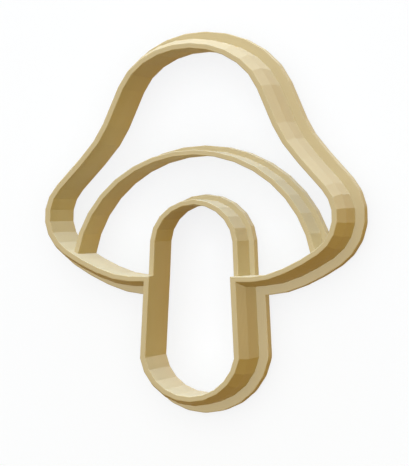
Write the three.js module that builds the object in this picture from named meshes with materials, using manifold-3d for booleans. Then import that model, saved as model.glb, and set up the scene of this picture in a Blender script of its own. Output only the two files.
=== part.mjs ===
// Mushroom imprint cutter, printed in plastic: it lies on its grip rim with the cutting edge up.
// X runs across the mushroom, Y from the foot of the stalk to the crown, Z from the table to the edge.
import * as THREE from "three";
import { mergeVertices } from "three/addons/utils/BufferGeometryUtils.js";
import Module from "manifold-3d";

const wasm = await Module();
wasm.setup();

// Heights above the table, in millimetres
const EDGE_HEIGHT = 17.5;
const IMPRINT_DROP = 3.5;
const RIM_THICKNESS = 3.4;

// Section of the cutting wall: straight on its inside, and tapered on its outside up to a flat land
const CUTTING_LAND = 1.1;
const WALL_THICKNESS = 2.15;
const TAPER_HEIGHT = 4.5;
const GRIP_OVERHANG = 2.0;

// Section of the imprint lines, which press a line into the dough and don't cut through
const IMPRINT_THICKNESS = 1.05;
const IMPRINT_OVERHANG = 1.1;

// Outline of the biscuit, its right half: widths from the axis, heights from the widest line of the cap
const CAP_RISE = 34.7;
const CAP_HALF_WIDTH = 29.9;
const SHOULDER_HALF_WIDTH = 14.2;
const SHOULDER_RISE = 26.3;
const WAIST_HALF_WIDTH = 17.5;
const WAIST_RISE = 18.65;
const LOBE_RADIUS = 8.3;
const LOBE_UPPER_ANGLE = 42.5;
const LOBE_LOWER_ANGLE = 56;
const BRIM_DROP = 12.3;
const BRIM_CORNER_SPARE = 0.3;
const STALK_HALF_WIDTH = 8.55;
const FOOT_HALF_WIDTH = 9.4;
const STALK_DROP = 37.1;
const FOOT_DEPTH = 8.0;

// Reach of the curve handles along the outline, from the crown down to the stalk
const CROWN_REACH = 6.0;
const SHOULDER_REACH = 5.9;
const FLARE_UPPER_REACH = 4.1;
const FLARE_LOWER_REACH = 8.8;
const BRIM_OUTER_REACH = 4.7;
const BRIM_INNER_REACH = 3.9;

// Imprint lines: the gills are part of a circle, the top of the stalk is an arch on two legs
const GILL_RADIUS = 25.2;
const GILL_DROP = 12.4;
const ARCH_HALF_WIDTH = 8.25;
const ARCH_RISE = 2.5;
const ARCH_DEPTH = 7.65;

// Where an imprint line ends on the wall it keeps this gap
const SEAT_GAP = 0.3;

// Flat facets along each round stretch of one half
const CROWN_FACETS = 5;
const FLARE_FACETS = 3;
const LOBE_FACETS = 6;
const BRIM_FACETS = 4;
const FOOT_FACETS = 5;
const GILL_FACETS = 9;
const ARCH_FACETS = 5;

// Facets of the short arc that the outer edge of the grip rim draws round each corner of the outline
const RIM_CORNER_FACETS = 2;

// Tan printed plastic with crisp facets
const PLASTIC = { color: 0xcab487, roughness: 0.5, metalness: 0, flatShading: true };

const radians = THREE.MathUtils.degToRad;
const point = (x, y) => new THREE.Vector2(x, y);
const heading = (degrees) => point(Math.cos(radians(degrees)), Math.sin(radians(degrees)));

/** A circular arc over a chord of the given half width, from its right end to its middle. */
function halfArc(halfWidth, depth, middle, up) {
  const radius = (halfWidth ** 2 + depth ** 2) / (2 * depth);
  const start = Math.asin((radius - depth) / radius);
  const centre = middle - up * radius;
  return new THREE.EllipseCurve(0, centre, radius, radius, up * start, up * Math.PI / 2, up < 0);
}

/** A curve between two points that leaves one and reaches the other along the given directions. */
function blend(from, leaving, leavingReach, to, arriving, arrivingReach) {
  return new THREE.CubicBezierCurve(
    from,
    from.clone().addScaledVector(leaving, leavingReach),
    to.clone().addScaledVector(arriving, -arrivingReach),
    to,
  );
}

/** One run of points from several, each of which starts where the last one ends. */
function joined(...runs) {
  return runs.flatMap((run, i) => (i === 0 ? run : run.slice(1)));
}

/** A right half that starts on the axis, with its mirror image in front of it, left to right. */
function mirrored(half) {
  const left = half.map((p) => point(-p.x, p.y)).reverse();
  return joined(left, half);
}

/** The direction out of the facet between two points of a path that runs left to right round the top. */
function outward(from, to) {
  return point(from.y - to.y, to.x - from.x).normalize();
}

/** For each point, the vector that moves it out when both its sides move out by one millimetre. */
function mitres(points, closed) {
  const last = points.length - 1;
  return points.map((p, i) => {
    const previous = i > 0 ? points[i - 1] : closed ? points[last] : null;
    const next = i < last ? points[i + 1] : closed ? points[0] : null;
    const normals = [previous && outward(previous, p), next && outward(p, next)].filter(Boolean);
    const sum = normals[0].clone().add(normals[normals.length - 1]);
    return sum.divideScalar(1 + normals[0].dot(normals[normals.length - 1]));
  });
}

/** The same path, whose offsets go round each outer corner in an arc instead of to a mitred point. */
function rounded(path) {
  const last = path.points.length - 1;
  const round = { points: [], mitres: [] };
  path.points.forEach((p, i) => {
    const before = i > 0 && outward(path.points[i - 1], p);
    const after = i < last && outward(p, path.points[i + 1]);
    const turn = before && after ? Math.asin(before.cross(after)) : 0;
    if (turn >= 0) {
      round.points.push(p);
      round.mitres.push(path.mitres[i]);
      return;
    }
    for (let k = 0; k <= RIM_CORNER_FACETS; k++) {
      round.points.push(p);
      round.mitres.push(before.clone().rotateAround(point(0, 0), (turn * k) / RIM_CORNER_FACETS));
    }
  });
  return round;
}

/** The same mesh with coinciding corners merged, without the triangles that this closes up. */
function merged(geometry) {
  const mesh = mergeVertices(geometry);
  const triangles = [];
  for (let i = 0; i < mesh.index.count; i += 3) {
    const corners = [i, i + 1, i + 2].map((j) => mesh.index.getX(j));
    if (new Set(corners).size === corners.length) triangles.push(...corners);
  }
  return mesh.setIndex(triangles);
}

/** Sweeps a section of [offset, height] corners along a path, with a flat cap at each end. */
function sweep(path, section) {
  const corners = section.length;
  const vertices = path.points.flatMap((p, i) =>
    section.flatMap(([offset, height]) => {
      const q = p.clone().addScaledVector(path.mitres[i], offset);
      return [q.x, q.y, height];
    }),
  );
  const index = [];
  for (let i = 0; i < path.points.length - 1; i++) {
    for (let j = 0; j < corners; j++) {
      const a = i * corners + j;
      const b = i * corners + ((j + 1) % corners);
      index.push(a, b, a + corners, b, b + corners, a + corners);
    }
  }
  const end = (path.points.length - 1) * corners;
  for (let j = 1; j < corners - 1; j++) {
    index.push(0, j + 1, j);
    index.push(end, end + j, end + j + 1);
  }
  return merged(closedGeometry(vertices, index));
}

/** A solid with the whole biscuit outline, moved out by an offset, between two heights. */
function filled(path, offset, low, high) {
  const ring = path.points.map((p, i) => p.clone().addScaledVector(path.mitres[i], offset)).reverse();
  const vertices = [low, high].flatMap((height) => ring.flatMap((p) => [p.x, p.y, height]));
  const count = ring.length;
  const index = [];
  for (const [a, b, c] of THREE.ShapeUtils.triangulateShape(ring.slice(), [])) {
    index.push(a, c, b);
    index.push(count + a, count + b, count + c);
  }
  for (let i = 0; i < count; i++) {
    const next = (i + 1) % count;
    index.push(i, next, count + next, i, count + next, count + i);
  }
  return closedGeometry(vertices, index);
}

function closedGeometry(vertices, index) {
  const geometry = new THREE.BufferGeometry();
  geometry.setAttribute("position", new THREE.Float32BufferAttribute(vertices, 3));
  geometry.setIndex(index);
  return geometry;
}

function solidOf(geometry) {
  return new wasm.Manifold(
    new wasm.Mesh({
      numProp: 3,
      vertProperties: geometry.attributes.position.array,
      triVerts: new Uint32Array(geometry.index.array),
    }),
  );
}

/** The part of a sweep that lies inside the biscuit outline, clear of the wall round it. */
function trimmed(geometry, inside) {
  const cut = solidOf(geometry).intersect(solidOf(inside)).getMesh();
  return closedGeometry(cut.vertProperties, Array.from(cut.triVerts));
}

// Sections, as [offset out from the inner face, height]: each wall stands on its rim, flush with it inside
const rimReach = WALL_THICKNESS + GRIP_OVERHANG;
const imprintRimReach = IMPRINT_THICKNESS + IMPRINT_OVERHANG;
const imprintHeight = EDGE_HEIGHT - IMPRINT_DROP;

const flatSection = (reach, low, high) => [[0, low], [reach, low], [reach, high], [0, high]];
const gripRim = flatSection(rimReach, 0, RIM_THICKNESS);
const imprintRim = flatSection(imprintRimReach, 0, RIM_THICKNESS);
const imprintWall = flatSection(IMPRINT_THICKNESS, RIM_THICKNESS, imprintHeight);
const cuttingWall = [
  [0, RIM_THICKNESS],
  [WALL_THICKNESS, RIM_THICKNESS],
  [WALL_THICKNESS, EDGE_HEIGHT - TAPER_HEIGHT],
  [CUTTING_LAND, EDGE_HEIGHT],
  [0, EDGE_HEIGHT],
];

// Corners of the outline, from the crown down to the corner between brim and stalk
const crown = point(0, CAP_RISE);
const shoulder = point(SHOULDER_HALF_WIDTH, SHOULDER_RISE);
const waist = point(WAIST_HALF_WIDTH, WAIST_RISE);
const armpit = point(STALK_HALF_WIDTH, -BRIM_DROP);
const flank = waist.clone().sub(shoulder).normalize();

// The lobe is a round end of the cap, and the brim runs straight beside the stalk where the rim turns in
const lobeCurve = new THREE.EllipseCurve(
  CAP_HALF_WIDTH - LOBE_RADIUS,
  0,
  LOBE_RADIUS,
  LOBE_RADIUS,
  radians(LOBE_UPPER_ANGLE),
  radians(-LOBE_LOWER_ANGLE),
  true,
);
const lobePoints = lobeCurve.getPoints(LOBE_FACETS);
const lobeTop = lobePoints[0];
const lobeFoot = lobePoints[LOBE_FACETS];
const brimEnd = armpit.clone().add(point(rimReach + BRIM_CORNER_SPARE, 0));

const crownCurve = blend(crown, heading(0), CROWN_REACH, shoulder, flank, SHOULDER_REACH);
const flareCurve = blend(
  waist,
  flank,
  FLARE_UPPER_REACH,
  lobeTop,
  heading(LOBE_UPPER_ANGLE - 90),
  FLARE_LOWER_REACH,
);
const brimCurve = blend(
  lobeFoot,
  heading(-LOBE_LOWER_ANGLE - 90),
  BRIM_OUTER_REACH,
  brimEnd,
  heading(180),
  BRIM_INNER_REACH,
);
const footCurve = halfArc(FOOT_HALF_WIDTH, FOOT_DEPTH, -STALK_DROP, -1);

const capHalf = [
  ...crownCurve.getPoints(CROWN_FACETS),
  ...joined(flareCurve.getPoints(FLARE_FACETS), lobePoints, brimCurve.getPoints(BRIM_FACETS)),
  armpit,
];
const stalkHalf = [...footCurve.getPoints(FOOT_FACETS).reverse(), armpit];
const capPoints = mirrored(capHalf);
const stalkPoints = mirrored(stalkHalf).reverse();

// The cap and the stalk share the mitred corner between them, so their end faces meet
const outlinePoints = [...capPoints, ...stalkPoints.slice(1, -1)];
const outline = { points: outlinePoints, mitres: mitres(outlinePoints, true) };
const capPath = {
  points: capPoints,
  mitres: outline.mitres.slice(0, capPoints.length),
};
const stalkPath = {
  points: stalkPoints,
  mitres: [...outline.mitres.slice(capPoints.length - 1), outline.mitres[0]],
};

// Imprint lines, drawn past the brim and cut off where they meet it
const gillCurve = new THREE.EllipseCurve(0, -GILL_DROP, GILL_RADIUS, GILL_RADIUS, Math.PI / 2, 0, true);
const archCurve = halfArc(ARCH_HALF_WIDTH, ARCH_DEPTH, ARCH_RISE, 1);
const gillPoints = mirrored([...gillCurve.getPoints(GILL_FACETS), point(GILL_RADIUS, -STALK_DROP)]);
const archPoints = mirrored([...archCurve.getPoints(ARCH_FACETS).reverse(), armpit]);
const gillPath = { points: gillPoints, mitres: mitres(gillPoints, false) };
const archPath = { points: archPoints, mitres: mitres(archPoints, false) };
const inside = filled(outline, -SEAT_GAP, -EDGE_HEIGHT, 2 * EDGE_HEIGHT);

function piece(name, geometry) {
  const mesh = new THREE.Mesh(geometry, new THREE.MeshStandardMaterial(PLASTIC));
  mesh.name = name;
  geometry.computeVertexNormals();
  return mesh;
}

// The origin lies under the middle of the part, halfway between crown and foot
const body = new THREE.Group();
body.position.y = (STALK_DROP - CAP_RISE) / 2;
body.add(
  piece("cap_grip_rim", sweep(rounded(capPath), gripRim)),
  piece("stalk_grip_rim", sweep(rounded(stalkPath), gripRim)),
  piece("cap_cutting_wall", sweep(capPath, cuttingWall)),
  piece("stalk_cutting_wall", sweep(stalkPath, cuttingWall)),
  piece("gill_imprint_rim", trimmed(sweep(gillPath, imprintRim), inside)),
  piece("gill_imprint_wall", trimmed(sweep(gillPath, imprintWall), inside)),
  piece("stalk_top_imprint_rim", trimmed(sweep(archPath, imprintRim), inside)),
  piece("stalk_top_imprint_wall", trimmed(sweep(archPath, imprintWall), inside)),
);

const cutter = new THREE.Group();
cutter.add(body);

export default cutter;
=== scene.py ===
"""Mushroom imprint cutter, printed in tan plastic: its printed surface, studio light and camera.

The cutter lies on its grip rim with the cutting edge up, and the camera looks down on it.
"""

import logging
import math
from dataclasses import dataclass
from enum import Enum

import bmesh
import bpy
from mathutils import Matrix, Vector
from mathutils.geometry import interpolate_bezier


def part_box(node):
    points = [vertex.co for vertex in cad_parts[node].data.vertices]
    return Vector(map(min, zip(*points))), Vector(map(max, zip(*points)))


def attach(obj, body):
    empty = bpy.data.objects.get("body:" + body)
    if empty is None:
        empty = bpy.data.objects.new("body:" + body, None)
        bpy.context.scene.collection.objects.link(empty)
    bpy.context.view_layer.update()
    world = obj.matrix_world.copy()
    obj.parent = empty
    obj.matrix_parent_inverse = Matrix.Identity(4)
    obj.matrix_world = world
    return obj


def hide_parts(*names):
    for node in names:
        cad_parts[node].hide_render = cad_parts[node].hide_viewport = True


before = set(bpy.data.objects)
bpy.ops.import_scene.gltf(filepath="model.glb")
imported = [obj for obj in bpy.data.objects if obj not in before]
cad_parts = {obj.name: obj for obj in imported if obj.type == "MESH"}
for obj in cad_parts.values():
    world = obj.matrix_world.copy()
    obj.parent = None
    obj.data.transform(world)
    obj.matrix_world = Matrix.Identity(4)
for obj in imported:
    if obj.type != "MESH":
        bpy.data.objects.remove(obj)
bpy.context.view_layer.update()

LOG = logging.getLogger("imprint_cutter")

METRES_PER_MM = 0.001
BODY = "root"
WHITE = "#FFFFFF"

# Corners of a mesh that lie closer than this, in metres, are one corner
MERGE_DISTANCE = 1e-7

# Name of the value, stored on every mesh, that says how far a point lies from the wall's inner face
ACROSS = "across_wall_mm"

# Numbers of a Mix node's sockets: its two numbers, its two colours, and the colour that it gives
NUMBER_A, NUMBER_B = 2, 3
COLOUR_A, COLOUR_B = 6, 7
MIXED_COLOUR = 2

Corner = tuple[float, float]
Plane = tuple[Vector, Vector]
Colour = tuple[float, float, float, float]


def linear(hex_colour: str) -> Colour:
    """Turn an sRGB hex value into linear light, by the curve of the sRGB standard.

    Args:
        hex_colour: Six hex digits after a hash sign.

    Returns:
        Red, green and blue in linear light, with a full alpha.
    """
    channels = [int(hex_colour[i : i + 2], 16) / 255 for i in (1, 3, 5)]
    red, green, blue = (c / 12.92 if c <= 0.04045 else ((c + 0.055) / 1.055) ** 2.4 for c in channels)
    return (red, green, blue, 1.0)


def add_node(
    tree: bpy.types.NodeTree, kind: str, inputs: dict[str | int, object] | None = None, **settings: object
) -> bpy.types.Node:
    """Add a node to a tree, with its settings, values and links.

    Args:
        tree: The node tree.
        kind: Blender's type of the node.
        inputs: For an input's name or number, a value, or another node's output to link.
        **settings: The node's own properties.

    Returns:
        The new node.
    """
    node = tree.nodes.new(kind)
    for name, value in settings.items():
        setattr(node, name, value)
    for key, value in (inputs or {}).items():
        if isinstance(value, bpy.types.NodeSocket):
            tree.links.new(value, node.inputs[key])
        else:
            node.inputs[key].default_value = value
    return node


def heading(degrees: float) -> Vector:
    """Give the unit vector of a direction, turned left from the X axis."""
    return Vector((math.cos(math.radians(degrees)), math.sin(math.radians(degrees))))


def arc(centre: Vector, radius: float, start: float, end: float, facets: int) -> list[Vector]:
    """Give the corners of a circular arc that is made of flat facets.

    Args:
        centre: Centre of the circle.
        radius: Its radius.
        start: Direction of the first corner from the centre, in degrees.
        end: Direction of the last corner.
        facets: Number of facets between them.

    Returns:
        The corners, from start to end.
    """
    step = (end - start) / facets
    return [centre + radius * heading(start + i * step) for i in range(facets + 1)]


def half_arc(half_width: float, depth: float, middle: float, up: int, facets: int) -> list[Vector]:
    """Give the right half of an arc over a chord, from its middle to its right end.

    Args:
        half_width: Half the chord.
        depth: Height of the arc over its chord.
        middle: Height of the middle of the arc.
        up: 1 for an arch, or -1 for a bowl.
        facets: Number of facets in the half.

    Returns:
        The corners, from the axis to the right end.
    """
    radius = (half_width**2 + depth**2) / (2 * depth)
    end = math.degrees(math.asin((radius - depth) / radius))
    return arc(Vector((0, middle - up * radius)), radius, up * 90, up * end, facets)


def curve(start: Vector, leaving: Vector, end: Vector, arriving: Vector, facets: int) -> list[Vector]:
    """Give the corners of a curve that leaves and arrives along given handles.

    Args:
        start: First corner.
        leaving: Handle at the start, as a vector along the curve.
        end: Last corner.
        arriving: Handle at the end, as a vector along the curve.
        facets: Number of facets.

    Returns:
        The corners, from start to end.
    """
    return interpolate_bezier(start, start + leaving, end - arriving, end, facets + 1)


def outward(start: Vector, end: Vector) -> Vector:
    """Give the direction out of a facet, on the left of the way from its start to its end."""
    return Vector((start.y - end.y, end.x - start.x)).normalized()


def mirrored(half: list[Vector]) -> list[Vector]:
    """Put the mirror image of a right half, which starts on the axis, in front of it."""
    left = [Vector((-p.x, p.y)) for p in reversed(half)]
    return left + half[1:]


@dataclass
class Path:
    """A line of facets, seen from above, that a section is swept along with mitred corners.

    Attributes:
        points: Corners, from left to right round the top.
        mitres: For each corner, its move when both its facets move out by one millimetre.
    """

    points: list[Vector]
    mitres: list[Vector]

    @classmethod
    def through(cls, points: list[Vector], closed: bool = False) -> "Path":
        """Make a path with the mitres that its corners call for.

        Args:
            points: Corners of the path.
            closed: Whether the last corner is joined to the first.

        Returns:
            The path.
        """
        count = len(points)
        mitres = []
        for i, here in enumerate(points):
            sides = []
            if i > 0 or closed:
                sides.append(outward(points[i - 1], here))
            if i < count - 1 or closed:
                sides.append(outward(here, points[(i + 1) % count]))
            first, last = sides[0], sides[-1]
            mitres.append((first + last) / (1 + first.dot(last)))
        return cls(points, mitres)

    def at(self, index: int, offset: float) -> Vector:
        """Give a corner of the path, moved out by an offset."""
        return self.points[index] + self.mitres[index] * offset

    def part(self, first: int, last: int) -> "Path":
        """Give a stretch of a closed path, which may pass its end.

        Args:
            first: Number of the first corner.
            last: Number of the last corner, counted on past the end.

        Returns:
            An open path with the same mitres.
        """
        count = len(self.points)
        numbers = [i % count for i in range(first, last + 1)]
        return Path([self.points[i] for i in numbers], [self.mitres[i] for i in numbers])

    def rounded(self, facets: int) -> "Path":
        """Give the same path with offsets that go round each outer corner in an arc, not to a mitred point.

        Args:
            facets: Number of facets in each arc.

        Returns:
            A path in which an outer corner comes up once for each corner of its arc.
        """
        path = Path([], [])
        for i, (here, mitre) in enumerate(zip(self.points, self.mitres)):
            corners = [mitre]
            if 0 < i < len(self.points) - 1:
                before, after = outward(self.points[i - 1], here), outward(here, self.points[i + 1])
                turn = before.angle_signed(after)
                if turn > 0:
                    corners = [Matrix.Rotation(-turn * k / facets, 2) @ before for k in range(facets + 1)]
            path.points.extend([here] * len(corners))
            path.mitres.extend(corners)
        return path


@dataclass(frozen=True)
class Section:
    """The cross-section of a rim or a wall.

    Attributes:
        corners: Offset out from the inner face and height of each corner, anticlockwise.
        eased: Numbers of the corners that are free edges, which the nozzle leaves slightly round.
        easing: Radius of those edges.
        steps: Facets across each of them.
    """

    corners: tuple[Corner, ...]
    eased: tuple[int, ...]
    easing: float = 0.12
    steps: int = 3

    def outline(self) -> list[Corner]:
        """Give the section with short curves in place of its free edges.

        Returns:
            Its corners, anticlockwise.
        """
        found: list[Corner] = []
        count = len(self.corners)
        for i, corner in enumerate(self.corners):
            if i not in self.eased:
                found.append(corner)
                continue
            here = Vector(corner)
            before = (Vector(self.corners[i - 1]) - here).normalized() * self.easing
            after = (Vector(self.corners[(i + 1) % count]) - here).normalized() * self.easing
            ends = (here + before, here + before / 2, here + after / 2, here + after)
            found.extend((p.x, p.y) for p in interpolate_bezier(*ends, self.steps + 1))
        return found


@dataclass(frozen=True)
class Heights:
    """Heights of the cutter above the table, in millimetres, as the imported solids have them.

    Attributes:
        rim: Top of the rims.
        imprint: Top of the imprint walls.
        edge: Cutting edge.
    """

    rim: float
    imprint: float
    edge: float

    @classmethod
    def from_frame(cls) -> "Heights":
        """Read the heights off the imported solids."""
        nodes = ("cap_grip_rim", "gill_imprint_wall", "cap_cutting_wall")
        return cls(*(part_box(node)[1].z / METRES_PER_MM for node in nodes))


@dataclass(frozen=True)
class PrintedPolylactide:
    """Tan polylactide (PLA), printed in layers from a fine nozzle.

    It gives the eye a matt, slightly warm plastic. Its walls carry the faint level lines of the layers, and
    its flat tops carry the beads that run along the wall.

    Attributes:
        name: Name of the material.
        colour: Colour of the plastic in its palest blotches.
        dark_colour: Its colour in the darkest ones.
        ior: Index of refraction.
        roughness: Roughness half-way between the darkest and the palest blotches.
        roughness_spread: How far the roughness departs from that in the blotches.
        specular: Strength of the gloss, where 0.5 is what the index of refraction gives.
        blotch_mm: Size of a blotch.
        blotch_detail: Number of finer sizes of blotch that are laid over it.
        layer_mm: Height of a layer on the walls.
        layer_relief_mm: Depth of the grooves between layers.
        bead_mm: Width of a bead on the level faces.
        bead_relief_mm: Depth of the grooves between beads.
        level_rise: Upward part of a face's unit normal, over which the face counts as level.
    """

    name: str = "printed_polylactide_tan"
    colour: str = "#C6B68D"
    dark_colour: str = "#C0B087"
    ior: float = 1.46
    roughness: float = 0.6
    roughness_spread: float = 0.08
    # The photograph shows no gloss, so little is left of what such a plastic usually has
    specular: float = 0.02
    blotch_mm: float = 9.0
    blotch_detail: float = 3.0
    # Real layers are 0.2 mm and too fine to show from a step away, so they are drawn three times as coarse
    layer_mm: float = 0.6
    layer_relief_mm: float = 0.03
    bead_mm: float = 0.45
    bead_relief_mm: float = 0.006
    level_rise: float = 0.9

    def lines(self, tree: bpy.types.NodeTree, place: bpy.types.NodeSocket) -> bpy.types.NodeSocket:
        """Add the nodes that draw layers up the walls and beads across the level faces.

        Args:
            tree: The material's node tree.
            place: Output with the place of the point on the cutter, in metres.

        Returns:
            An output with the height of the lines, in millimetres.
        """
        height = add_node(tree, "ShaderNodeSeparateXYZ", {"Vector": place}).outputs["Z"]
        layers = add_node(
            tree, "ShaderNodeMath", {0: height, 1: self.layer_mm * METRES_PER_MM}, operation="DIVIDE"
        )
        across = add_node(tree, "ShaderNodeAttribute", attribute_name=ACROSS).outputs["Fac"]
        beads = add_node(tree, "ShaderNodeMath", {0: across, 1: self.bead_mm}, operation="DIVIDE")
        facing = add_node(tree, "ShaderNodeNewGeometry").outputs["True Normal"]
        upwards = add_node(tree, "ShaderNodeSeparateXYZ", {"Vector": facing}).outputs["Z"]
        level = add_node(
            tree, "ShaderNodeMath", {0: upwards, 1: self.level_rise}, operation="GREATER_THAN"
        ).outputs["Value"]
        # Layers or beads are counted along X, and each of them is one band of the texture
        count = add_node(
            tree,
            "ShaderNodeMix",
            {"Factor": level, NUMBER_A: layers.outputs["Value"], NUMBER_B: beads.outputs["Value"]},
            data_type="FLOAT",
        )
        along = add_node(tree, "ShaderNodeCombineXYZ", {"X": count.outputs["Result"]}).outputs["Vector"]
        # The bands of this texture repeat after two pi twentieths at a scale of 1, and here after 1
        scale = math.pi / 10
        waves = add_node(tree, "ShaderNodeTexWave", {"Vector": along, "Scale": scale}, bands_direction="X")
        relief = add_node(
            tree,
            "ShaderNodeMix",
            {"Factor": level, NUMBER_A: self.layer_relief_mm, NUMBER_B: self.bead_relief_mm},
            data_type="FLOAT",
        )
        heights = {0: waves.outputs["Fac"], 1: relief.outputs["Result"]}
        return add_node(tree, "ShaderNodeMath", heights, operation="MULTIPLY").outputs["Value"]

    def material(self) -> bpy.types.Material:
        """Make the material.

        Returns:
            A material whose lines follow the layers and the beads of the print.
        """
        material = bpy.data.materials.new(self.name)
        material.use_nodes = True
        tree = material.node_tree
        tree.nodes.clear()
        place = add_node(tree, "ShaderNodeTexCoord").outputs["Object"]
        blotches = add_node(
            tree,
            "ShaderNodeTexNoise",
            {"Vector": place, "Scale": 1 / (self.blotch_mm * METRES_PER_MM), "Detail": self.blotch_detail},
        ).outputs["Fac"]
        colour = add_node(
            tree,
            "ShaderNodeMix",
            {"Factor": blotches, COLOUR_A: linear(self.dark_colour), COLOUR_B: linear(self.colour)},
            data_type="RGBA",
        )
        roughness = add_node(
            tree,
            "ShaderNodeMapRange",
            {
                "Value": blotches,
                "To Min": self.roughness + self.roughness_spread,
                "To Max": self.roughness - self.roughness_spread,
            },
        )
        relief = add_node(
            tree, "ShaderNodeBump", {"Height": self.lines(tree, place), "Distance": METRES_PER_MM}
        )
        shader = add_node(
            tree,
            "ShaderNodeBsdfPrincipled",
            {
                "Base Color": colour.outputs[MIXED_COLOUR],
                "Roughness": roughness.outputs["Result"],
                "Normal": relief.outputs["Normal"],
                "IOR": self.ior,
                "Specular IOR Level": self.specular,
            },
        )
        add_node(tree, "ShaderNodeOutputMaterial", {"Surface": shader.outputs["BSDF"]})
        return material


def sweep(path: Path, section: Section) -> bmesh.types.BMesh:
    """Sweep a section along a path, with a flat cap at each end.

    Args:
        path: The path, in millimetres.
        section: The section, in millimetres.

    Returns:
        A closed mesh in metres.
    """
    mesh = bmesh.new()
    across = mesh.verts.layers.float.new(ACROSS)
    rings = []
    for i in range(len(path.points)):
        ring = []
        for offset, height in section.outline():
            corner = path.at(i, offset)
            vertex = mesh.verts.new(Vector((corner.x, corner.y, height)) * METRES_PER_MM)
            vertex[across] = offset
            ring.append(vertex)
        rings.append(ring)
    for here, after in zip(rings, rings[1:]):
        for j in range(len(here)):
            k = (j + 1) % len(here)
            mesh.faces.new((here[j], here[k], after[k], after[j]))
    mesh.faces.new(reversed(rings[0]))
    mesh.faces.new(rings[-1])
    bmesh.ops.remove_doubles(mesh, verts=mesh.verts[:], dist=MERGE_DISTANCE)
    return mesh


def cut_back(mesh: bmesh.types.BMesh, planes: list[Plane]) -> None:
    """Cut off what lies outside some upright planes, and close the cuts.

    Args:
        mesh: The mesh, in metres.
        planes: For each plane, a point on it and its outward normal, seen from above, in millimetres.
    """
    for point, normal in planes:
        cut = bmesh.ops.bisect_plane(
            mesh,
            geom=mesh.verts[:] + mesh.edges[:] + mesh.faces[:],
            plane_co=point.to_3d() * METRES_PER_MM,
            plane_no=normal.to_3d(),
            clear_outer=True,
        )
        edges = [e for e in cut["geom_cut"] if isinstance(e, bmesh.types.BMEdge)]
        if edges:
            bmesh.ops.edgeloop_fill(mesh, edges=edges)


def place_piece(mesh: bmesh.types.BMesh, node: str, material: bpy.types.Material) -> bpy.types.Object:
    """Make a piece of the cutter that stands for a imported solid.

    Args:
        mesh: Its mesh, in metres, which is used up.
        node: Name of the solid.
        material: Its finish.

    Returns:
        The piece.
    """
    bmesh.ops.recalc_face_normals(mesh, faces=mesh.faces[:])
    data = bpy.data.meshes.new(f"{node}_printed")
    mesh.to_mesh(data)
    mesh.free()
    data.materials.append(material)
    piece = bpy.data.objects.new(data.name, data)
    bpy.context.scene.collection.objects.link(piece)
    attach(piece, BODY)
    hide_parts(node)
    return piece


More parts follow.
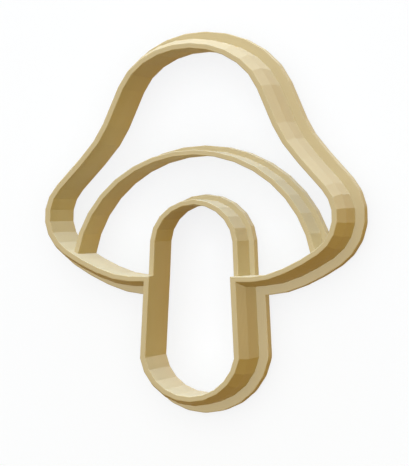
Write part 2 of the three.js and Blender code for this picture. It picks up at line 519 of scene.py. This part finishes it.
@dataclass
class CuttingFrame:
    """The tall wall that cuts the biscuit out, on its grip rim, round the cap and round the stalk.

    The outline is the inner face of the wall. Its widths are measured from the axis of the mushroom, and its
    rises and drops from the widest line of the cap, all in millimetres. Handles are how far a curve keeps to
    its direction at its two ends.

    Attributes:
        heights: Heights of the rims and walls above the table.
        cutting_land: Width of the flat cutting edge.
        wall_thickness: Thickness of the wall below its taper.
        taper_height: Height of the taper under the edge.
        grip_overhang: Reach of the grip rim past the wall.
        cap_rise: Rise of the crown.
        cap_half_width: Half the width of the cap.
        shoulder: Upper end of the straight flank of the cap.
        waist: Lower end of that flank.
        lobe_radius: Radius of the round end of the cap.
        lobe_upper_angle: Angle from the widest point of the lobe up to its end, in degrees.
        lobe_lower_angle: The same down to its other end.
        brim_drop: Drop of the brim where it meets the stalk.
        brim_corner_spare: Straight length of the brim at the stalk, past the width of the rim.
        stalk_half_width: Half the width of the stalk at the brim.
        foot_half_width: Half the width of the stalk over its round foot.
        foot_depth: Depth of the round foot.
        stalk_drop: Drop of the lowest point of the foot.
        crown_handles: Handles of the curve from the crown to the shoulder.
        flare_handles: Handles of the curve from the waist to the lobe.
        brim_handles: Handles of the curve from the lobe to the straight part of the brim.
        crown_facets: Facets of the curve from the crown to the shoulder.
        flare_facets: Facets of the curve from the waist to the lobe.
        lobe_facets: Facets of the lobe.
        brim_facets: Facets of the curve from the lobe to the brim.
        foot_facets: Facets of half the foot.
        rim_corner_facets: Facets of the arc in which the grip rim goes round an outer corner.
    """

    heights: Heights
    cutting_land: float = 1.1
    wall_thickness: float = 2.15
    taper_height: float = 4.5
    grip_overhang: float = 2.0
    cap_rise: float = 34.7
    cap_half_width: float = 29.9
    shoulder: Corner = (14.2, 26.3)
    waist: Corner = (17.5, 18.65)
    lobe_radius: float = 8.3
    lobe_upper_angle: float = 42.5
    lobe_lower_angle: float = 56.0
    brim_drop: float = 12.3
    brim_corner_spare: float = 0.3
    stalk_half_width: float = 8.55
    foot_half_width: float = 9.4
    foot_depth: float = 8.0
    stalk_drop: float = 37.1
    crown_handles: Corner = (6.0, 5.9)
    flare_handles: Corner = (4.1, 8.8)
    brim_handles: Corner = (4.7, 3.9)
    crown_facets: int = 5
    flare_facets: int = 3
    lobe_facets: int = 6
    brim_facets: int = 4
    foot_facets: int = 5
    rim_corner_facets: int = 2

    @property
    def rim_reach(self) -> float:
        """Give the width of the grip rim, from the inner face."""
        return self.wall_thickness + self.grip_overhang

    @property
    def lift(self) -> Vector:
        """Give the move that puts the middle of the mushroom's height over the origin."""
        return Vector((0, (self.stalk_drop - self.cap_rise) / 2))

    @property
    def armpit(self) -> Vector:
        """Give the corner between the brim and the stalk."""
        return Vector((self.stalk_half_width, -self.brim_drop))

    def brim_half(self) -> list[Vector]:
        """Give the right end of the cap, round its lobe and along the brim.

        Returns:
            The corners, from the top of the lobe to the stalk.
        """
        centre = Vector((self.cap_half_width - self.lobe_radius, 0))
        upper, lower = self.lobe_upper_angle, -self.lobe_lower_angle
        lobe = arc(centre, self.lobe_radius, upper, lower, self.lobe_facets)
        brim_end = self.armpit + Vector((self.rim_reach + self.brim_corner_spare, 0))
        leaving = heading(lower - 90) * self.brim_handles[0]
        arriving = heading(180) * self.brim_handles[1]
        brim = curve(lobe[-1], leaving, brim_end, arriving, self.brim_facets)
        return lobe + brim[1:] + [self.armpit]

    def cap_half(self) -> list[Vector]:
        """Give the right half of the cap.

        Returns:
            The corners, from the crown to the corner beside the stalk.
        """
        crown, shoulder, waist = Vector((0, self.cap_rise)), Vector(self.shoulder), Vector(self.waist)
        flank = (waist - shoulder).normalized()
        brim = self.brim_half()
        leaving, arriving = heading(0) * self.crown_handles[0], flank * self.crown_handles[1]
        top = curve(crown, leaving, shoulder, arriving, self.crown_facets)
        leaving = flank * self.flare_handles[0]
        arriving = heading(self.lobe_upper_angle - 90) * self.flare_handles[1]
        flare = curve(waist, leaving, brim[0], arriving, self.flare_facets)
        return top + flare + brim[1:]

    def outline(self) -> tuple[Path, int]:
        """Give the whole outline of the biscuit.

        Returns:
            The closed path, clockwise from the left corner beside the stalk, and the number of its corner
            on the right of the stalk.
        """
        cap = mirrored(self.cap_half())
        foot = half_arc(self.foot_half_width, self.foot_depth, -self.stalk_drop, -1, self.foot_facets)
        stalk = list(reversed(mirrored(foot)))
        points = [p + self.lift for p in cap + stalk]
        return Path.through(points, closed=True), len(cap) - 1

    def brim_planes(self) -> list[Plane]:
        """Give the inner faces of the brim and of the lower half of each lobe, left and right.

        Returns:
            For each face, a point on it and its outward normal.
        """
        low = [p for p in self.brim_half() if p.y < 0]
        planes = []
        for here, after in zip(low, low[1:]):
            along = (after - here).normalized()
            for side in (1, -1):
                point = Vector((side * here.x, here.y)) + self.lift
                planes.append((point, Vector((side * -along.y, along.x))))
        return planes

    def build(self, material: bpy.types.Material) -> list[bpy.types.Object]:
        """Build the rim and the wall of the cap and of the stalk.

        Args:
            material: Their finish.

        Returns:
            The four pieces.
        """
        rim, edge, reach = self.heights.rim, self.heights.edge, self.rim_reach
        rim_section = Section(((0, 0), (reach, 0), (reach, rim), (0, rim)), eased=(0, 1, 2))
        wall_section = Section(
            (
                (0, rim),
                (self.wall_thickness, rim),
                (self.wall_thickness, edge - self.taper_height),
                (self.cutting_land, edge),
                (0, edge),
            ),
            eased=(3, 4),
        )
        outline, corner = self.outline()
        paths = {"cap": outline.part(0, corner), "stalk": outline.part(corner, len(outline.points))}
        pieces = []
        for place, path in paths.items():
            grip_rim = sweep(path.rounded(self.rim_corner_facets), rim_section)
            pieces.append(place_piece(grip_rim, f"{place}_grip_rim", material))
            pieces.append(place_piece(sweep(path, wall_section), f"{place}_cutting_wall", material))
        return pieces


@dataclass
class ImprintLine:
    """A lower wall inside the cutting wall, on a narrow rim, that presses a line into the dough.

    Attributes:
        cutting: The cutting wall that the line lies inside.
        name: First part of the names of its pieces.
        thickness: Thickness of its wall, in millimetres.
        overhang: Reach of its rim past the wall, in millimetres.
    """

    cutting: CuttingFrame
    name: str
    thickness: float = 1.05
    overhang: float = 1.1

    def half(self) -> list[Vector]:
        """Give the right half of the line's inner face, from the axis to past the brim."""
        raise NotImplementedError

    def build(self, material: bpy.types.Material) -> list[bpy.types.Object]:
        """Build the rim and the wall of the line, which end on the inside of the brim.

        Args:
            material: Their finish.

        Returns:
            The two pieces.
        """
        rim, top = self.cutting.heights.rim, self.cutting.heights.imprint
        thick, reach = self.thickness, self.thickness + self.overhang
        sections = {
            "rim": Section(((0, 0), (reach, 0), (reach, rim), (0, rim)), eased=(0, 1, 2)),
            "wall": Section(((0, rim), (thick, rim), (thick, top), (0, top)), eased=(2, 3)),
        }
        path = Path.through([p + self.cutting.lift for p in mirrored(self.half())])
        pieces = []
        for kind, section in sections.items():
            mesh = sweep(path, section)
            cut_back(mesh, self.cutting.brim_planes())
            pieces.append(place_piece(mesh, f"{self.name}_imprint_{kind}", material))
        return pieces


@dataclass
class GillLine(ImprintLine):
    """The wide arch that presses the line between the cap and its gills.

    Attributes:
        radius: Radius of the arch, in millimetres.
        drop: Drop of its centre below the widest line of the cap, in millimetres.
        facets: Facets of half the arch.
    """

    name: str = "gill"
    radius: float = 25.2
    drop: float = 12.4
    facets: int = 9

    def half(self) -> list[Vector]:
        """Give the right half of the arch, down to below the brim."""
        return arc(Vector((0, -self.drop)), self.radius, 90, 0, self.facets)


@dataclass
class StalkTopLine(ImprintLine):
    """The narrow arch that presses the round top of the stalk, in line with the stalk's own wall.

    Attributes:
        half_width: Half the width of the arch, in millimetres.
        rise: Rise of its top over the widest line of the cap, in millimetres.
        depth: Height of the arch over its legs, in millimetres.
        facets: Facets of half the arch.
        run_on: Length of a leg below the brim, which is cut off, in millimetres.
    """

    name: str = "stalk_top"
    half_width: float = 8.25
    rise: float = 2.5
    depth: float = 7.65
    facets: int = 5
    run_on: float = 3.0

    def half(self) -> list[Vector]:
        """Give the right half of the arch and its leg.

        Returns:
            The corners, from the top of the arch to below the brim.
        """
        top = half_arc(self.half_width, self.depth, self.rise, 1, self.facets)
        leg = (self.cutting.armpit - top[-1]).normalized()
        return top + [self.cutting.armpit + leg * self.run_on]


class LampRole(Enum):
    """What a lamp does for the picture."""

    KEY = "key"
    FILL = "fill"
    LEFT = "left"
    RIGHT = "right"
    TOP = "top"


@dataclass(frozen=True)
class SoftBox:
    """A square soft lamp that faces the cutter.

    Attributes:
        role: What the lamp does.
        azimuth: Its direction seen from above, in degrees to the left of the X axis.
        elevation: Its height over the table, in degrees.
        distance: Its distance from the cutter, in millimetres.
        size: Its side, in millimetres.
        level: Brightness that it gives to a white card that faces it, where 1 is white.
        colour: Its colour.
        casts_shadow: Whether the cutter shades itself and the floor from it.
    """

    role: LampRole
    azimuth: float
    elevation: float
    distance: float
    size: float
    level: float
    colour: str = WHITE
    casts_shadow: bool = False

    def build(self) -> bpy.types.Object:
        """Make the lamp and turn it towards the cutter.

        Returns:
            The lamp.
        """
        lamp = bpy.data.lights.new(f"{self.role.value}_softbox", "AREA")
        distance = self.distance * METRES_PER_MM
        lamp.size = self.size * METRES_PER_MM
        # A white card that faces a lamp is as bright as its power over the square of pi times the distance
        lamp.energy = self.level * (math.pi * distance) ** 2
        lamp.color = linear(self.colour)[:3]
        lamp.use_shadow = self.casts_shadow
        softbox = bpy.data.objects.new(lamp.name, lamp)
        flat = heading(self.azimuth) * math.cos(math.radians(self.elevation))
        towards = Vector((flat.x, flat.y, math.sin(math.radians(self.elevation))))
        softbox.location = towards * distance
        softbox.rotation_euler = towards.to_track_quat("Z", "Y").to_euler()
        bpy.context.scene.collection.objects.link(softbox)
        return softbox


@dataclass(frozen=True)
class Studio:
    """A pale floor in soft, even light, which the camera sees as white paper with a faint painted shadow on
    it.

    Cool daylight comes in low from beyond the crown, so that walls which face it look cream. The room and
    the light that the floor throws back are warm, so that walls turned from the daylight look ochre. The
    photograph has no cast shadows, so of the lamps only the weak one overhead casts any.

    Attributes:
        floor_radius: Radius of the round floor, in millimetres.
        floor_sides: Number of its sides.
        paper_colour: Colour of the floor that the camera sees.
        bounce_colour: Colour of the floor that lights the cutter from below.
        room_colour: Colour and level of the light of the room.
        backdrop_share: Share of the seen floor that is white by itself, whatever light falls on it.
        shadow_colour: Colour of the painted shadow in that share, where the cutter hides the room from it.
        shadow_reach: How near the cutter has to be to hide the room and darken the painted shadow, in
            millimetres.
        lamps: The lamps.
    """

    floor_radius: float = 1500.0
    floor_sides: int = 96
    paper_colour: str = "#F4FAFF"
    bounce_colour: str = "#BD933F"
    room_colour: str = "#AC9865"
    backdrop_share: float = 0.75
    shadow_colour: str = "#EBEAE8"
    shadow_reach: float = 9.0
    lamps: tuple[SoftBox, ...] = (
        SoftBox(LampRole.KEY, 90, 15, distance=2400, size=1200, level=1.9, colour="#A0C0FF"),
        SoftBox(LampRole.FILL, 90, 50, distance=2400, size=1200, level=0.36, colour="#FEFCF0"),
        SoftBox(LampRole.RIGHT, 45, 10, distance=2400, size=1200, level=0.28, colour="#FFF9B6"),
        SoftBox(LampRole.LEFT, 135, 10, distance=2400, size=1200, level=0.28, colour="#FFF9B6"),
        SoftBox(LampRole.TOP, 180, 89, distance=900, size=400, level=0.12, casts_shadow=True),
    )

    def seen(self, tree: bpy.types.NodeTree) -> bpy.types.NodeSocket:
        """Add the nodes that say whether a ray comes from the camera, a gloss or a clear piece.

        Args:
            tree: The node tree.

        Returns:
            An output that is 1 for such a ray, and 0 for other rays.
        """
        ray = add_node(tree, "ShaderNodeLightPath")
        seen = ray.outputs["Is Camera Ray"]
        for kind in ("Is Glossy Ray", "Is Transmission Ray"):
            either = add_node(tree, "ShaderNodeMath", {0: seen, 1: ray.outputs[kind]}, operation="MAXIMUM")
            seen = either.outputs["Value"]
        return seen

    def floor(self) -> bpy.types.Object:
        """Make the floor, a round sheet on which the cutter lies.

        Returns:
            The floor, which isn't part of the cutter.
        """
        material = bpy.data.materials.new("matt_white_paper")
        material.use_nodes = True
        tree = material.node_tree
        tree.nodes.clear()
        seen = self.seen(tree)
        colour = add_node(
            tree,
            "ShaderNodeMix",
            {"Factor": seen, COLOUR_A: linear(self.bounce_colour), COLOUR_B: linear(self.paper_colour)},
            data_type="RGBA",
        )
        # Matt paper scatters light evenly and shows no gloss
        paper = add_node(tree, "ShaderNodeBsdfDiffuse", {"Color": colour.outputs[MIXED_COLOUR]})
        # The lamps are too even to shade the paper, so a painted shadow darkens its white where the cutter
        # hides the room from it
        reach = self.shadow_reach * METRES_PER_MM
        unhidden = add_node(tree, "ShaderNodeAmbientOcclusion", {"Distance": reach}).outputs["AO"]
        # Painted shadow: the glowing white of the paper is mixed towards the shadow colour by the occlusion
        shade = add_node(
            tree,
            "ShaderNodeMix",
            {"Factor": unhidden, COLOUR_A: linear(self.shadow_colour), COLOUR_B: linear(WHITE)},
            data_type="RGBA",
        )
        white = add_node(
            tree, "ShaderNodeEmission", {"Color": shade.outputs[MIXED_COLOUR], "Strength": 1.0}
        )
        share = add_node(tree, "ShaderNodeMath", {0: seen, 1: self.backdrop_share}, operation="MULTIPLY")
        mixed = add_node(
            tree,
            "ShaderNodeMixShader",
            {"Fac": share.outputs["Value"], 1: paper.outputs["BSDF"], 2: white.outputs["Emission"]},
        )
        add_node(tree, "ShaderNodeOutputMaterial", {"Surface": mixed.outputs["Shader"]})
        mesh = bmesh.new()
        radius = self.floor_radius * METRES_PER_MM
        bmesh.ops.create_circle(mesh, cap_ends=True, segments=self.floor_sides, radius=radius)
        data = bpy.data.meshes.new("floor")
        mesh.to_mesh(data)
        mesh.free()
        data.materials.append(material)
        floor = bpy.data.objects.new("floor", data)
        bpy.context.scene.collection.objects.link(floor)
        return floor

    def world(self) -> bpy.types.World:
        """Make the warm, even light of the room, which shows as white behind the floor.

        Returns:
            The world, which is set as the scene's own.
        """
        world = bpy.data.worlds.new("studio_room")
        world.use_nodes = True
        tree = world.node_tree
        tree.nodes.clear()
        colour = add_node(
            tree,
            "ShaderNodeMix",
            {"Factor": self.seen(tree), COLOUR_A: linear(self.room_colour), COLOUR_B: linear(WHITE)},
            data_type="RGBA",
        )
        air = add_node(
            tree, "ShaderNodeBackground", {"Color": colour.outputs[MIXED_COLOUR], "Strength": 1.0}
        )
        add_node(tree, "ShaderNodeOutputWorld", {"Surface": air.outputs["Background"]})
        bpy.context.scene.world = world
        return world

    def build(self) -> None:
        """Make the floor, the light round it and the lamps."""
        self.floor()
        self.world()
        for lamp in self.lamps:
            LOG.info("lamp %s", lamp.build().name)


@dataclass(frozen=True)
class PhotoCamera:
    """The camera of the photograph, which looks down on the cutting edge from a little to the right.

    The aim is a point on the axis of the mushroom, at the height of the cutting edge.

    Attributes:
        edge: Height of the cutting edge, in millimetres.
        aim_rise: Distance from the middle of the mushroom's height to the aim, in millimetres.
        picture: Width and height of the picture, in pixels.
        azimuth: Angle between the view and the upright axis, to the right, in degrees.
        tilt: The same towards the crown.
        distance: Distance from the camera to the aim, along the view, in millimetres.
        scale: Pixels for a millimetre at the aim.
        aim_pixel: Where the aim shows in the picture, from its upper left corner.
        sensor: Long side of the sensor, in millimetres.
        near: Shortest distance that the camera draws, in millimetres.
        far: Longest distance that it draws.
    """

    edge: float
    aim_rise: float = 0.336
    picture: tuple[int, int] = (409, 466)
    azimuth: float = 13.85
    tilt: float = 0.49
    distance: float = 652.9
    scale: float = 4.86
    aim_pixel: tuple[float, float] = (189.28, 220.96)
    sensor: float = 36.0
    near: float = 10.0
    far: float = 10000.0

    def build(self) -> bpy.types.Object:
        """Make the camera and set it as the scene's own.

        Returns:
            The camera.
        """
        lens = bpy.data.cameras.new("photo_camera")
        width, height = self.picture
        lens.sensor_width = self.sensor
        lens.lens = self.distance * self.scale / max(width, height) * self.sensor
        lens.clip_start = self.near * METRES_PER_MM
        lens.clip_end = self.far * METRES_PER_MM
        turn, tilt = math.radians(self.azimuth), math.radians(self.tilt)
        back = Vector((math.sin(turn) * math.cos(tilt), math.sin(tilt), math.cos(turn) * math.cos(tilt)))
        right = Vector((math.cos(turn), 0, -math.sin(turn)))
        up = back.cross(right)
        sideways = (width / 2 - self.aim_pixel[0]) / self.scale
        upwards = (self.aim_pixel[1] - height / 2) / self.scale
        aim = Vector((0, self.aim_rise, self.edge))
        place = aim + right * sideways + up * upwards + back * self.distance
        camera = bpy.data.objects.new(lens.name, lens)
        axes = Matrix((right, up, back)).transposed().to_4x4()
        camera.matrix_world = Matrix.Translation(place * METRES_PER_MM) @ axes
        bpy.context.scene.collection.objects.link(camera)
        bpy.context.scene.camera = camera
        return camera


def main() -> None:
    """Build the cutter, the studio round it and the camera."""
    logging.basicConfig(level=logging.INFO, format="%(message)s")
    bpy.context.scene.view_settings.view_transform = "Standard"
    LOG.info("frame of %d packed solids", len(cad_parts))
    plastic = PrintedPolylactide().material()
    cutting = CuttingFrame(Heights.from_frame())
    for assembly in (cutting, GillLine(cutting), StalkTopLine(cutting)):
        for piece in assembly.build(plastic):
            LOG.info("piece %s, %d faces", piece.name, len(piece.data.polygons))
    Studio().build()
    camera = PhotoCamera(cutting.heights.edge).build()
    LOG.info("camera %s", camera.name)


if __name__ == "__main__":
    main()
